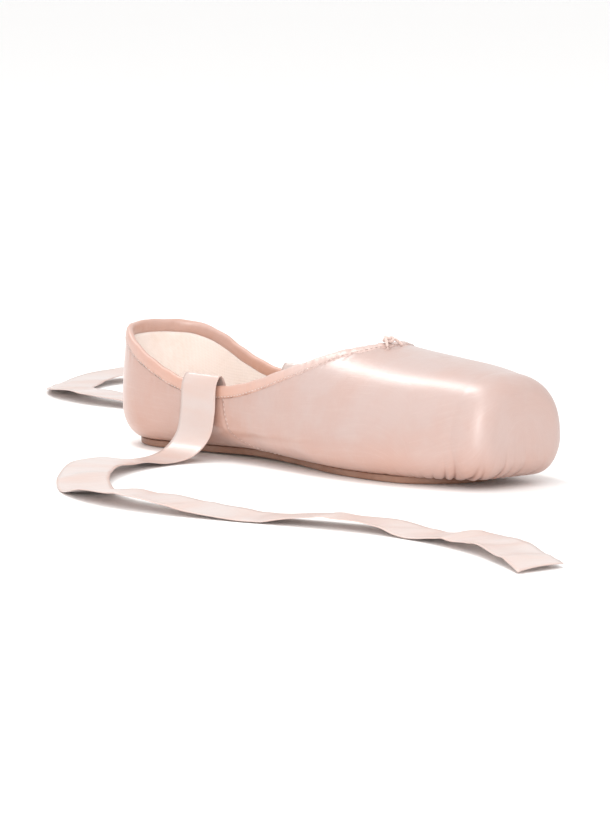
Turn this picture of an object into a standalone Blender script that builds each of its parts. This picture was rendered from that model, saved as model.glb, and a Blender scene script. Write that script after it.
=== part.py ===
import math
from collections import namedtuple

import bmesh
import bpy
from mathutils import Vector

# A ballet pointe shoe, standing empty on its leather sole.
# X runs from the heel to the platform, Y across the shoe, Z up from the floor.

# Lengths and widths of the last
LENGTH = 0.240
VAMP_LENGTH = 0.076
HEEL_BACK = 0.030
BALL_WIDTH = 0.076
HEEL_TUCK = 0.0075

# Heights above the floor
HEEL_HEIGHT = 0.053
SIDE_HEIGHT = 0.032
INSTEP_HEIGHT = 0.053
ARCH_LIFT = 0.0012
TOE_LIFT = 0.0005

# Walls
QUARTER_WALL = 0.0018
BOX_WALL = 0.0035
BOX_START = 0.050
BOX_FULL = 0.085
PLATFORM_ROUND = 0.0055
MARGIN = 0.0075
GAP = 0.0003

# Leather sole and insole
SOLE_LENGTH = 0.207
SOLE_WIDTH = 0.056
SOLE_THICKNESS = 0.003
SOLE_EDGE = 0.0015
SOLE_NOSE = 0.024
INSOLE_THICKNESS = 0.0016
INSOLE_LENGTH = 0.190
INSOLE_NOSE = 0.022

# Satin casing round the mouth, and its drawstring
CASING_WIDTH = 0.0055
CASING_THICKNESS = 0.0030
STRING_DIAMETER = 0.0016
KNOT_WIDTH = 0.0052
KNOT_FLATNESS = 0.8
KNOT_SIDE = -0.0035
STRING_TAIL = 0.008

# Ribbons
RIBBON_WIDTH = 0.022
RIBBON_THICKNESS = 0.0006

# Places that follow from the sizes
heel_end = -LENGTH / 2
toe_end = LENGTH / 2
heel_center = heel_end + HEEL_BACK
throat = toe_end - VAMP_LENGTH
box_front = toe_end - PLATFORM_ROUND
sole_back = heel_end + HEEL_TUCK - SOLE_EDGE
sole_front = sole_back + SOLE_LENGTH
upper_bottom = SOLE_THICKNESS + GAP

# Sections across the last, from the heel's center to the toe box.
# at: share of LENGTH from the heel; half: share of half the BALL_WIDTH; flat: share of half the
# SOLE_WIDTH; belly and top: shares of the INSTEP_HEIGHT; arch: share of the ARCH_LIFT;
# toe: share of the TOE_LIFT; square: power of the arch over the belly, 2 is an ellipse.
Section = namedtuple("Section", "at half flat belly top arch toe square")
SECTIONS = (
    Section(0.125, 0.745, 0.610, 0.340, 1.700, 0.00, 0.00, 2.20),
    Section(0.250, 0.770, 0.560, 0.320, 1.500, 0.50, 0.00, 2.20),
    Section(0.375, 0.800, 0.500, 0.290, 1.310, 1.00, 0.00, 2.10),
    Section(0.500, 0.890, 0.620, 0.270, 1.140, 0.50, 0.00, 2.10),
    Section(0.620, 0.980, 0.860, 0.265, 1.045, 0.00, 0.00, 2.10),
    Section(0.712, 1.000, 0.950, 0.265, 0.995, 0.00, 0.00, 2.15),
    Section(0.800, 0.955, 0.910, 0.280, 0.960, 0.00, 0.00, 2.25),
    Section(0.900, 0.820, 0.700, 0.330, 0.920, 0.00, 0.20, 2.35),
    Section(1.000, 0.625, 0.300, 0.390, 0.840, 0.00, 1.00, 2.30),
)

# Height of the upper's rim along the mouth. at: share of the way from the heel's back to the
# throat; heel: share of the rise from the side up to the heel; front: share of the rise from
# the side up to the throat.
Rim = namedtuple("Rim", "at heel front")
RIM = (
    Rim(0.00, 1.00, 0.00),
    Rim(0.06, 0.93, 0.00),
    Rim(0.12, 0.75, 0.00),
    Rim(0.22, 0.38, 0.00),
    Rim(0.34, 0.09, 0.00),
    Rim(0.46, 0.00, 0.00),
    Rim(0.56, 0.00, 0.05),
    Rim(0.66, 0.00, 0.20),
    Rim(0.76, 0.00, 0.42),
    Rim(0.84, 0.00, 0.61),
    Rim(0.92, 0.00, 0.83),
    Rim(1.00, 0.00, 1.00),
)

# How each ribbon lies, as places of its middle line. along: from the heel's center; out: from
# the shoe's middle plane; up: above the floor; heading: turn of the strip's run from straight
# out, in degrees, towards the toe for a negative one. Both ribbons are sewn in alike, inside the
# quarter, and fold over the casing.
Laid = namedtuple("Laid", "along out up heading")
Mark = namedtuple("Mark", ("share",) + Laid._fields)
SEWN_END = (
    Laid(0.042, 0.0256, 0.0150, 0),
    Laid(0.042, 0.0260, 0.0220, 0),
    Laid(0.042, 0.0256, 0.0315, 0),
    Laid(0.042, 0.0284, 0.0360, 0),
    Laid(0.042, 0.0313, 0.0315, 0),
    Laid(0.042, 0.0322, 0.0200, 0),
    Laid(0.042, 0.0350, 0.0100, 0),
    Laid(0.042, 0.0440, 0.0030, 0),
    Laid(0.042, 0.0580, 0.0010, 0),
)
NEAR_RIBBON = SEWN_END + (
    Laid(0.046, 0.0780, 0.0034, -10),
    Laid(0.056, 0.1000, 0.0046, -22),
    Laid(0.073, 0.1220, 0.0030, -36),
    Laid(0.096, 0.1400, 0.0010, -50),
    Laid(0.122, 0.1520, 0.0040, -66),
    Laid(0.150, 0.1560, 0.0052, -82),
    Laid(0.178, 0.1540, 0.0034, -98),
    Laid(0.206, 0.1480, 0.0010, -104),
    Laid(0.234, 0.1400, 0.0030, -104),
    Laid(0.262, 0.1340, 0.0040, -94),
    Laid(0.290, 0.1330, 0.0010, -87),
    Laid(0.319, 0.1370, 0.0030, -78),
    Laid(0.347, 0.1455, 0.0044, -70),
    Laid(0.374, 0.1575, 0.0030, -65),
    Laid(0.400, 0.1705, 0.0010, -64),
)
FAR_RIBBON = SEWN_END + (
    Laid(0.040, 0.0760, 0.0034, 18),
    Laid(0.032, 0.0930, 0.0044, 38),
    Laid(0.018, 0.1060, 0.0030, 58),
    Laid(0.000, 0.1140, 0.0010, 78),
    Laid(-0.026, 0.1150, 0.0040, 98),
    Laid(-0.051, 0.1070, 0.0052, 112),
    Laid(-0.075, 0.0950, 0.0034, 116),
    Laid(-0.099, 0.0840, 0.0010, 110),
    Laid(-0.125, 0.0770, 0.0034, 98),
    Laid(-0.152, 0.0760, 0.0046, 84),
    Laid(-0.178, 0.0835, 0.0030, 62),
    Laid(-0.199, 0.1015, 0.0010, 38),
    Laid(-0.211, 0.1270, 0.0030, 10),
    Laid(-0.209, 0.1550, 0.0044, -18),
    Laid(-0.193, 0.1780, 0.0030, -50),
    Laid(-0.168, 0.1895, 0.0010, -76),
    Laid(-0.143, 0.1915, 0.0010, -86),
)

# How finely the forms are cut
heel_steps = 8
mouth_steps = 22
mouth_crowding = 1.7
box_steps = 13
round_steps = 3
platform_rings = (0.6, 0.0)
margin_steps = 2
under_steps = 4
over_steps = 8
sole_heel_steps = 6
sole_body_steps = 26
sole_nose_steps = 7
sole_shares = (1, 0.85, 0.5, 0)
casing_sides = 10
tail_steps = 6
strip_steps = 92


def smooth(rows, across, column, place):
    """The column's value at a place, on a smooth curve through the rows."""
    spots = [getattr(row, across) for row in rows]
    values = [getattr(row, column) for row in rows]
    place = min(max(place, spots[0]), spots[-1])
    k = max(i for i in range(len(spots) - 1) if spots[i] <= place)

    def slope(i):
        low = max(i - 1, 0)
        high = min(i + 1, len(spots) - 1)
        return (values[high] - values[low]) / (spots[high] - spots[low])

    run = spots[k + 1] - spots[k]
    t = (place - spots[k]) / run
    rise = values[k + 1] - values[k]
    start = slope(k) * run
    end = slope(k + 1) * run
    return values[k] + t * start + t * t * (3 * rise - 2 * start - end) + t**3 * (start + end - 2 * rise)


def section(x):
    """Half widths and heights of the last where a plane across it cuts at x."""
    at = (x - heel_end) / LENGTH
    sizes = {name: smooth(SECTIONS, "at", name, at) for name in Section._fields[1:]}
    rise = ARCH_LIFT * max(sizes["arch"], 0) + TOE_LIFT * max(sizes["toe"], 0)
    base = upper_bottom + rise
    return {
        "half": sizes["half"] * BALL_WIDTH / 2,
        "flat": sizes["flat"] * SOLE_WIDTH / 2,
        "base": base,
        "belly": sizes["belly"] * INSTEP_HEIGHT,
        "top": sizes["top"] * INSTEP_HEIGHT,
        "square": sizes["square"],
    }


def rim_height(x):
    """Height of the upper's rim on its outer face, up to the throat."""
    share = (x - heel_end) / (throat - heel_end)
    side = SIDE_HEIGHT - CASING_WIDTH - GAP
    heel = HEEL_HEIGHT - CASING_WIDTH - GAP
    front = section(throat)["top"]
    to_heel = smooth(RIM, "at", "heel", share) * (heel - side)
    to_front = smooth(RIM, "at", "front", share) * (front - side)
    return side + to_heel + to_front


def stiff_share(x):
    """0 where the wall is the quarters' cloth, and 1 in the stiff box."""
    return min(max((x - BOX_START) / (BOX_FULL - BOX_START), 0), 1)


def wall_at(x):
    return QUARTER_WALL + (BOX_WALL - QUARTER_WALL) * stiff_share(x)


def nose(x, front, depth):
    """A round end: 1 back of it, and 0 at the front."""
    t = min(max((x - front + depth) / depth, 0), 1)
    return math.sqrt(1 - t * t)


def turned(side, back, turn):
    """Radius of the heel's outline, an ellipse, where the plane of a rib is turned by an angle."""
    across = math.sin(turn) / side
    along = math.cos(turn) / back
    return 1 / math.hypot(across, along)


class Rib:
    """One line round the last, from the margin under the foot up to the rim or the top."""

    def __init__(self, x, turn=math.pi / 2):
        self.foot = Vector((x, 0, 0))
        self.out = Vector((-math.cos(turn), math.sin(turn), 0))
        self.sizes = section(x)
        half = self.sizes["half"]
        flat = self.sizes["flat"]
        self.half = turned(half, HEEL_BACK, turn)
        self.flat = turned(flat, HEEL_BACK - HEEL_TUCK, turn)
        inner = turned(flat - MARGIN, HEEL_BACK - HEEL_TUCK - MARGIN, turn)
        self.inner = inner * nose(x, sole_front - MARGIN, SOLE_NOSE)
        rise = 1.0
        if x < throat:
            outer = x + self.out.x * self.half
            tall = self.sizes["top"] - self.sizes["belly"]
            rise = (rim_height(outer) - self.sizes["belly"]) / tall
        self.end = math.asin(min(rise, 1.0) ** (self.sizes["square"] / 2))

    def at(self, reach, height):
        return self.foot + self.out * reach + Vector((0, 0, height))

    def under(self, share):
        """A point of the flat margin."""
        return self.at(self.inner + (self.flat - self.inner) * share, self.sizes["base"])

    def low(self, share):
        """A point of the round from the margin out to the belly."""
        angle = share * math.pi / 2
        reach = self.flat + (self.half - self.flat) * math.sin(angle)
        lift = (self.sizes["belly"] - self.sizes["base"]) * (1 - math.cos(angle))
        return self.at(reach, self.sizes["base"] + lift)

    def high(self, share):
        """A point of the side and top, from the belly up to the rim."""
        angle = share * self.end
        power = 2 / self.sizes["square"]
        reach = self.half * max(math.cos(angle), 0) ** power
        lift = (self.sizes["top"] - self.sizes["belly"]) * math.sin(angle) ** power
        return self.at(reach if share < 1 or self.end < 1.5 else 0, self.sizes["belly"] + lift)

    def points(self):
        line = [self.under(i / margin_steps) for i in range(margin_steps)]
        line += [self.low(i / under_steps) for i in range(under_steps)]
        line += [self.high(i / over_steps) for i in range(over_steps + 1)]
        return line


def mouth_places():
    """Places of the ribs between the heel's center and the throat, closer near the throat."""
    reach = throat - heel_center
    return [throat - reach * (1 - i / mouth_steps) ** mouth_crowding for i in range(mouth_steps)]


def mouth_ribs():
    """The ribs that end at the rim, from the back seam to the throat."""
    fan = [Rib(heel_center, i / heel_steps * math.pi / 2) for i in range(heel_steps)]
    return fan + [Rib(x) for x in mouth_places()] + [Rib(throat)]


def loft(name, rows, joined=False):
    """A mesh of quads between rows of points, with points that fall together merged."""
    shape = bmesh.new()
    lines = [[shape.verts.new(point) for point in row] for row in rows]
    for first, second in zip(lines, lines[1:]):
        count = len(first) if joined else len(first) - 1
        for i in range(count):
            j = (i + 1) % len(first)
            shape.faces.new((first[i], first[j], second[j], second[i]))
    bmesh.ops.remove_doubles(shape, verts=shape.verts, dist=0.000001)
    bmesh.ops.dissolve_degenerate(shape, edges=shape.edges, dist=0.000001)
    mesh = bpy.data.meshes.new(name)
    shape.to_mesh(mesh)
    shape.free()
    mesh.shade_smooth()
    return mesh


def place(name, mesh, material, folder):
    thing = bpy.data.objects.new(name, mesh)
    thing.data.materials.append(material)
    folder.objects.link(thing)
    return thing


def mirrored(thing):
    mirror = thing.modifiers.new("Other side", "MIRROR")
    mirror.use_axis = (False, True, False)
    mirror.merge_threshold = 0.00005
    return mirror


def finish(name, color, roughness):
    material = bpy.data.materials.new(name)
    material.use_nodes = True
    surface = material.node_tree.nodes["Principled BSDF"]
    surface.inputs["Base Color"].default_value = (*color, 1)
    surface.inputs["Roughness"].default_value = roughness
    return material


def flattened(row):
    """The same points with the first one exactly on the middle plane."""
    return [Vector((p.x, 0 if abs(p.y) < 0.00002 else p.y, p.z)) for p in row]


def make_upper(satin, folder):
    """The hollow satin shell: quarters, vamp, stiff box and platform."""
    ribs = mouth_ribs()
    step = (box_front - throat) / box_steps
    ribs += [Rib(throat + step * (i + 1)) for i in range(box_steps)]
    rows = [flattened(rib.points()) for rib in ribs]

    last = rows[-1]
    middle_height = (last[0].z + last[-1].z) / 2
    middle = Vector((box_front, 0, middle_height))
    tall = last[-1].z - middle_height
    for i in range(1, round_steps + 1):
        angle = i / round_steps * math.pi / 2
        share = 1 - PLATFORM_ROUND * (1 - math.cos(angle)) / tall
        ahead = Vector((PLATFORM_ROUND * math.sin(angle), 0, 0))
        rows.append([middle + (p - middle) * share + ahead for p in last])
    rim = rows[-1]
    center = Vector((toe_end, 0, middle_height))
    for share in platform_rings:
        rows.append([center + (p - center) * share for p in rim])

    upper = place("upper", loft("upper", rows), satin, folder)
    stiff = upper.vertex_groups.new(name="box")
    for vertex in upper.data.vertices:
        stiff.add([vertex.index], stiff_share(vertex.co.x), "REPLACE")
    mirrored(upper)
    wall = upper.modifiers.new("Wall", "SOLIDIFY")
    wall.thickness = BOX_WALL
    wall.vertex_group = stiff.name
    wall.thickness_vertex_group = QUARTER_WALL / BOX_WALL
    wall.offset = -1
    return upper


def sole_half(x, back, front, nose_depth, edge):
    """Half width of a sole or insole at x, round at both ends."""
    flat = section(max(x, heel_center))["flat"] + edge
    reach = heel_center - back
    t = min(max((heel_center - x) / reach, 0), 1)
    return flat * math.sqrt(1 - t * t) * nose(x, front, nose_depth)


def sole_places(back, front, nose_depth):
    """Places along a sole, close together at its round ends."""
    reach = heel_center - back
    turns = [i / sole_heel_steps * math.pi / 2 for i in range(sole_heel_steps)]
    start = [heel_center - reach * math.cos(turn) for turn in turns]
    body = front - nose_depth - heel_center
    middle = [heel_center + body * i / sole_body_steps for i in range(sole_body_steps)]
    turns = [i / sole_nose_steps * math.pi / 2 for i in range(sole_nose_steps + 1)]
    ending = [front - nose_depth * (1 - math.sin(turn)) for turn in turns]
    return start + middle + ending


def make_flat(name, back, front, nose_depth, edge, lift, thickness, material, folder):
    """A sole cut from sheet: its top lies at a lift from the last's bottom."""
    rows = []
    for x in sole_places(back, front, nose_depth):
        half = sole_half(x, back, front, nose_depth, edge)
        height = section(max(x, heel_center))["base"] + lift(x)
        rows.append([Vector((x, half * share, height)) for share in sole_shares])
    thing = place(name, loft(name, rows), material, folder)
    mirrored(thing)
    body = thing.modifiers.new("Thickness", "SOLIDIFY")
    body.thickness = thickness
    body.offset = -1
    edge_round = thing.modifiers.new("Skived edge", "BEVEL")
    edge_round.width = thickness * 0.2
    edge_round.segments = 2
    edge_round.angle_limit = math.radians(60)
    return thing


def make_outsole(leather, folder):
    """The leather sole lies a gap below the last's bottom, all along."""

    def lift(x):
        return -GAP

    return make_flat(
        "outsole", sole_back, sole_front, SOLE_NOSE, SOLE_EDGE, lift, SOLE_THICKNESS, leather, folder
    )


def make_insole(board, folder):
    """The insole rests on the turned-in margin, and steps up onto the thicker box."""

    def lift(x):
        return wall_at(x) + GAP + INSOLE_THICKNESS

    back = heel_end + HEEL_TUCK + GAP
    front = back + INSOLE_LENGTH
    return make_flat("insole", back, front, INSOLE_NOSE, -GAP, lift, INSOLE_THICKNESS, board, folder)


def casing_frames():
    """Middle, in-surface direction and normal of the casing, from the back seam to the throat."""
    ribs = mouth_ribs()
    rim = [rib.high(1) for rib in ribs]
    below = [rib.high(0.97) for rib in ribs]
    frames = []
    for i, point in enumerate(rim):
        after = rim[i + 1] if i + 1 < len(rim) else Vector((rim[i - 1].x, -rim[i - 1].y, rim[i - 1].z))
        before = rim[i - 1] if i > 0 else Vector((rim[1].x, -rim[1].y, rim[1].z))
        along = (after - before).normalized()
        if i + 1 < len(rim):
            normal = (point - below[i]).cross(along).normalized()
        else:
            ahead = Rib(throat + 0.001).high(1)
            normal = (point - ahead).cross(along).normalized()
        inward = along.cross(normal).normalized()
        seat = point - normal * QUARTER_WALL / 2
        middle = seat + inward * (GAP + CASING_WIDTH / 2)
        if i in (0, len(rim) - 1):
            middle.y = 0
        frames.append((middle, inward, normal))
    return frames


def squared(value, power):
    """A sine or cosine raised to a power under 1, for a round that is fuller than a circle."""
    return math.copysign(abs(value) ** power, value)


def make_casing(satin, folder):
    """The folded satin casing along the whole mouth, a soft flat tube."""
    rows = []
    for middle, inward, normal in casing_frames():
        ring = []
        for i in range(casing_sides):
            angle = -(i + 0.5) / casing_sides * math.tau
            wide = squared(math.cos(angle), 0.7)
            deep = squared(math.sin(angle), 0.8)
            shift = inward * wide * CASING_WIDTH / 2 + normal * deep * CASING_THICKNESS / 2
            ring.append(middle + shift)
        rows.append(ring)
    for row in (rows[0], rows[-1]):
        for point in row:
            point.y = 0
    casing = place("collar_casing", loft("collar_casing", rows, joined=True), satin, folder)
    mirrored(casing)
    return casing


def make_knot(cotton, folder):
    """The drawstring's knot on the throat, and its two short tails."""
    middle, inward, normal = casing_frames()[-1]
    across = Vector((0, 1, 0))
    top = middle + normal * (CASING_THICKNESS / 2 + GAP)
    seat = top + across * KNOT_SIDE + normal * (KNOT_WIDTH / 2 * KNOT_FLATNESS)
    bpy.ops.mesh.primitive_uv_sphere_add(segments=12, ring_count=8, radius=KNOT_WIDTH / 2, location=seat)
    knot = bpy.context.object
    knot.name = "drawstring_knot"
    knot.scale = (1, 1, KNOT_FLATNESS)
    knot.data.shade_smooth()
    knot.data.materials.append(cotton)
    for holder in list(knot.users_collection):
        holder.objects.unlink(knot)
    folder.objects.link(knot)
    for name, side in (("string_tail_near", -1), ("string_tail_far", 1)):
        start = seat + across * side * (KNOT_WIDTH / 2 + STRING_DIAMETER / 2 + GAP)
        make_tail(name, start, across * side, normal, cotton, folder)


def make_tail(name, start, across, normal, cotton, folder):
    """One end of the drawstring, running out and forward from the knot in a low bow."""
    curve = bpy.data.curves.new(name, "CURVE")
    curve.dimensions = "3D"
    curve.bevel_depth = STRING_DIAMETER / 2
    curve.bevel_resolution = 2
    curve.use_fill_caps = True
    line = curve.splines.new("POLY")
    line.points.add(tail_steps)
    direction = across * 0.55 + Vector((0.8, 0, 0))
    for i, point in enumerate(line.points):
        share = i / tail_steps
        bow = math.sin(share * math.pi) * STRING_DIAMETER
        spot = start + direction * share * STRING_TAIL + normal * bow
        point.co = (*spot, 1)
    tail = bpy.data.objects.new(name, curve)
    tail.data.materials.append(cotton)
    folder.objects.link(tail)


def laid_line(rows, side):
    """Middle points and width directions of a ribbon, smooth through its rows."""
    marks = [Mark(i / (len(rows) - 1), *row) for i, row in enumerate(rows)]
    line = []
    for i in range(strip_steps + 1):
        share = i / strip_steps
        along, out, up, heading = (smooth(marks, "share", name, share) for name in Laid._fields)
        turn = math.radians(heading)
        spot = Vector((heel_center + along, side * out, up))
        line.append((spot, Vector((math.cos(turn), side * math.sin(turn), 0))))
    return line


def make_ribbon(name, rows, side, satin, folder):
    """A flat satin ribbon, folded over the casing and laid out on the floor."""
    line = laid_line(rows, side)
    strips = []
    for i, (spot, width) in enumerate(line):
        before = line[max(i - 1, 0)][0]
        after = line[min(i + 1, len(line) - 1)][0]
        run = (after - before).normalized()
        wide = (width - run * width.dot(run)).normalized()
        face = run.cross(wide).normalized()
        half = wide * RIBBON_WIDTH / 2
        thick = face * RIBBON_THICKNESS / 2
        ring = [spot + half + thick, spot - half + thick, spot - half - thick, spot + half - thick]
        strips.append(ring)
    mesh = loft(name, strips, joined=True)
    shape = bmesh.new()
    shape.from_mesh(mesh)
    bmesh.ops.holes_fill(shape, edges=[edge for edge in shape.edges if edge.is_boundary])
    bmesh.ops.recalc_face_normals(shape, faces=shape.faces)
    shape.to_mesh(mesh)
    shape.free()
    return place(name, mesh, satin, folder)


def main():
    for thing in list(bpy.data.objects):
        bpy.data.objects.remove(thing)
    folder = bpy.data.collections.new("Pointe shoe")
    bpy.context.scene.collection.children.link(folder)

    satin = finish("Pink satin", (0.80, 0.56, 0.49), 0.35)
    casing = finish("Casing satin", (0.80, 0.52, 0.42), 0.45)
    leather = finish("Sole leather", (0.72, 0.55, 0.40), 0.6)
    board = finish("Insole cloth", (0.78, 0.68, 0.58), 0.9)
    cotton = finish("Drawstring cotton", (0.85, 0.62, 0.55), 0.8)
    ribbon = finish("Ribbon satin", (0.84, 0.62, 0.55), 0.3)

    make_upper(satin, folder)
    make_outsole(leather, folder)
    make_insole(board, folder)
    make_casing(casing, folder)
    make_knot(cotton, folder)
    make_ribbon("ribbon_near", NEAR_RIBBON, -1, ribbon, folder)
    make_ribbon("ribbon_far", FAR_RIBBON, 1, ribbon, folder)


main()
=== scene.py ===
import math

import bmesh
import bpy
import numpy as np
from mathutils import Matrix, Vector


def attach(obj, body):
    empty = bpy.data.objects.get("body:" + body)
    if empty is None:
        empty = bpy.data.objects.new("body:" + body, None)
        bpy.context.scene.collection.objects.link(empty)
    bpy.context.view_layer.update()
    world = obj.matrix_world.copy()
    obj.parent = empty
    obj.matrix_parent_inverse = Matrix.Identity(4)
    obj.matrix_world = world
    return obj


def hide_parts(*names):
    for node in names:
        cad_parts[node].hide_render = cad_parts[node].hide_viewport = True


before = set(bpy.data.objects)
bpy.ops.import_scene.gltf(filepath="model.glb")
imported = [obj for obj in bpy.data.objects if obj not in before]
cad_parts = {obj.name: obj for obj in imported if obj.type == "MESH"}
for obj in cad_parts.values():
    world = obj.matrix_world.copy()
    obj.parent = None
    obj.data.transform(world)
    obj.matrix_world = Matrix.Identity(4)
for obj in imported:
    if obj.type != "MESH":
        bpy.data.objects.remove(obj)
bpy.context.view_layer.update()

# Everything is in metres. X runs from heel to platform, Y across, Z up from the floor.
# The near side, which the camera sees, is at -Y.
shoe = {
    "length": 0.240,
    "vampLength": 0.076,
    "heelBack": 0.030,
    "ballWidth": 0.076,
    "heelTuck": 0.0075,
    "heelHeight": 0.053,
    "sideHeight": 0.032,
    "instepHeight": 0.053,
    "archLift": 0.0012,
    "toeLift": 0.0005,
    "quarterWall": 0.0018,
    "boxWall": 0.0035,
    "boxStart": 0.050,
    "boxFull": 0.085,
    "margin": 0.0075,
    "gap": 0.0003,
    "soleLength": 0.207,
    "soleWidth": 0.056,
    "soleThickness": 0.003,
    "soleEdge": 0.0015,
    "soleNose": 0.024,
    "casingWidth": 0.0055,
    "casingThickness": 0.0030,
}
heelEnd = -shoe["length"] / 2
toeEnd = shoe["length"] / 2
heelCenter = heelEnd + shoe["heelBack"]
throat = toeEnd - shoe["vampLength"]
soleBack = heelEnd + shoe["heelTuck"] - shoe["soleEdge"]
soleFront = soleBack + shoe["soleLength"]
upperBottom = shoe["soleThickness"] + shoe["gap"]

# Sections of the last: place along the shoe, then shares of the ball width, the sole width,
# the instep height (belly and top), the arch and toe lifts, and the power of the arch.
sections = {
    "at": (0.125, 0.250, 0.375, 0.500, 0.620, 0.712, 0.800, 0.900, 1.000),
    "half": (0.745, 0.770, 0.800, 0.890, 0.980, 1.000, 0.955, 0.820, 0.625),
    "flat": (0.610, 0.560, 0.500, 0.620, 0.860, 0.950, 0.910, 0.700, 0.300),
    "belly": (0.340, 0.320, 0.290, 0.270, 0.265, 0.265, 0.280, 0.330, 0.390),
    "top": (1.700, 1.500, 1.310, 1.140, 1.045, 0.995, 0.960, 0.920, 0.840),
    "arch": (0.00, 0.50, 1.00, 0.50, 0.00, 0.00, 0.00, 0.00, 0.00),
    "toe": (0.00, 0.00, 0.00, 0.00, 0.00, 0.00, 0.00, 0.20, 1.00),
    "square": (2.20, 2.20, 2.10, 2.10, 2.10, 2.15, 2.25, 2.35, 2.30),
}
# The upper's rim: share of the way from heel to throat, and how far it has risen from the side.
rim = {
    "at": (0.00, 0.06, 0.12, 0.22, 0.34, 0.46, 0.56, 0.66, 0.76, 0.84, 0.92, 1.00),
    "heel": (1.00, 0.93, 0.75, 0.38, 0.09, 0.00, 0.00, 0.00, 0.00, 0.00, 0.00, 0.00),
    "front": (0.00, 0.00, 0.00, 0.00, 0.00, 0.00, 0.05, 0.20, 0.42, 0.61, 0.83, 1.00),
}


def smooth(spots, values, places):
    # a smooth curve through the values, read at the places
    spots, values = np.array(spots), np.array(values)
    places = np.clip(places, spots[0], spots[-1])
    k = np.clip(np.searchsorted(spots, places, "right") - 1, 0, len(spots) - 2)
    low = np.maximum(np.arange(len(spots)) - 1, 0)
    high = np.minimum(np.arange(len(spots)) + 1, len(spots) - 1)
    slopes = (values[high] - values[low]) / (spots[high] - spots[low])
    run = spots[k + 1] - spots[k]
    t = (places - spots[k]) / run
    rise = values[k + 1] - values[k]
    start, end = slopes[k] * run, slopes[k + 1] * run
    return values[k] + t * start + t**2 * (3 * rise - 2 * start - end) + t**3 * (start + end - 2 * rise)


def fade(x, low, high):
    # 0 below low, 1 above high, soft between
    t = np.clip((x - low) / (high - low), 0, 1)
    return t * t * (3 - 2 * t)


def bell(x, width):
    return np.exp(-((x / width) ** 2))


def unit(vectors):
    return vectors / np.linalg.norm(vectors, axis=-1, keepdims=True)


def lengthsAlong(path):
    steps = np.linalg.norm(np.diff(path, axis=0), axis=1)
    return np.concatenate([[0], np.cumsum(steps)])


def sectionAt(x):
    at = (np.asarray(x, float) - heelEnd) / shoe["length"]
    share = {name: smooth(sections["at"], column, at) for name, column in sections.items() if name != "at"}
    lift = shoe["archLift"] * np.maximum(share["arch"], 0) + shoe["toeLift"] * np.maximum(share["toe"], 0)
    return {
        "half": share["half"] * shoe["ballWidth"] / 2,
        "flat": share["flat"] * shoe["soleWidth"] / 2,
        "base": upperBottom + lift,
        "belly": share["belly"] * shoe["instepHeight"],
        "top": share["top"] * shoe["instepHeight"],
        "square": share["square"],
    }


def rimHeight(x):
    share = (x - heelEnd) / (throat - heelEnd)
    side = shoe["sideHeight"] - shoe["casingWidth"] - shoe["gap"]
    heel = shoe["heelHeight"] - shoe["casingWidth"] - shoe["gap"]
    front = sectionAt(throat)["top"]
    toHeel = smooth(rim["at"], rim["heel"], share) * (heel - side)
    toFront = smooth(rim["at"], rim["front"], share) * (front - side)
    return side + toHeel + toFront


def turned(side, back, turn):
    return 1 / np.hypot(np.sin(turn) / side, np.cos(turn) / back)


def wallAt(x):
    stiff = np.clip((x - shoe["boxStart"]) / (shoe["boxFull"] - shoe["boxStart"]), 0, 1)
    return shoe["quarterWall"] + (shoe["boxWall"] - shoe["quarterWall"]) * stiff


class Ribs:
    # lines round the last, from the margin under the foot up to the rim or the top

    def __init__(self, x, turn):
        self.x, self.turn = np.asarray(x, float), np.asarray(turn, float)
        size = sectionAt(self.x)
        back = shoe["heelBack"]
        tuck, margin = shoe["heelTuck"], shoe["margin"]
        self.half = turned(size["half"], back, self.turn)
        self.flat = turned(size["flat"], back - tuck, self.turn)
        nose = np.clip((self.x - soleFront + margin + shoe["soleNose"]) / shoe["soleNose"], 0, 1)
        inner = turned(size["flat"] - margin, back - tuck - margin, self.turn)
        self.inner = inner * np.sqrt(1 - nose**2)
        self.size = size
        outer = self.x - np.cos(self.turn) * self.half
        rise = (rimHeight(np.minimum(outer, throat)) - size["belly"]) / (size["top"] - size["belly"])
        rise = np.where(self.x < throat - 1e-9, np.clip(rise, 0, 1), 1.0)
        self.end = np.arcsin(rise ** (size["square"] / 2))

    def at(self, reach, height):
        x = self.x - np.cos(self.turn) * reach
        return np.stack([x, np.sin(self.turn) * reach, height + 0 * reach], -1)

    def under(self, share):
        return self.at(self.inner + (self.flat - self.inner) * share, self.size["base"])

    def low(self, share):
        angle = share * math.pi / 2
        base, belly = self.size["base"], self.size["belly"]
        reach = self.flat + (self.half - self.flat) * math.sin(angle)
        return self.at(reach, base + (belly - base) * (1 - math.cos(angle)))

    def high(self, share):
        angle = share * self.end
        power = 2 / self.size["square"]
        reach = self.half * np.maximum(np.cos(angle), 0) ** power
        reach = np.where((share >= 1) & (self.end > 1.5), 0, reach)
        lift = (self.size["top"] - self.size["belly"]) * np.sin(angle) ** power
        return self.at(reach, self.size["belly"] + lift)


def skinPoint(x, z):
    # half width of the last's surface at a place along it and a height
    size = sectionAt(x)
    down = np.clip((z - size["base"]) / (size["belly"] - size["base"]), 0, 1)
    below = size["flat"] + (size["half"] - size["flat"]) * np.sin(np.arccos(1 - down))
    up = np.clip((z - size["belly"]) / (size["top"] - size["belly"]), 0, 1)
    above = size["half"] * (1 - up ** size["square"]) ** (1 / size["square"])
    return np.where(z < size["belly"], below, above)


def toMesh(name, points, faces):
    mesh = bpy.data.meshes.new(name)
    mesh.from_pydata(np.reshape(points, (-1, 3)).tolist(), [], faces)
    return mesh


def gridFaces(rows, columns, start=0, flip=False, wrapped=False):
    faces = []
    for i in range(rows - 1):
        for j in range(columns if wrapped else columns - 1):
            k = (j + 1) % columns
            a, b = start + i * columns + j, start + i * columns + k
            c, d = a + columns, b + columns
            faces.append((a, c, d, b) if flip else (a, b, d, c))
    return faces


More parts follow.
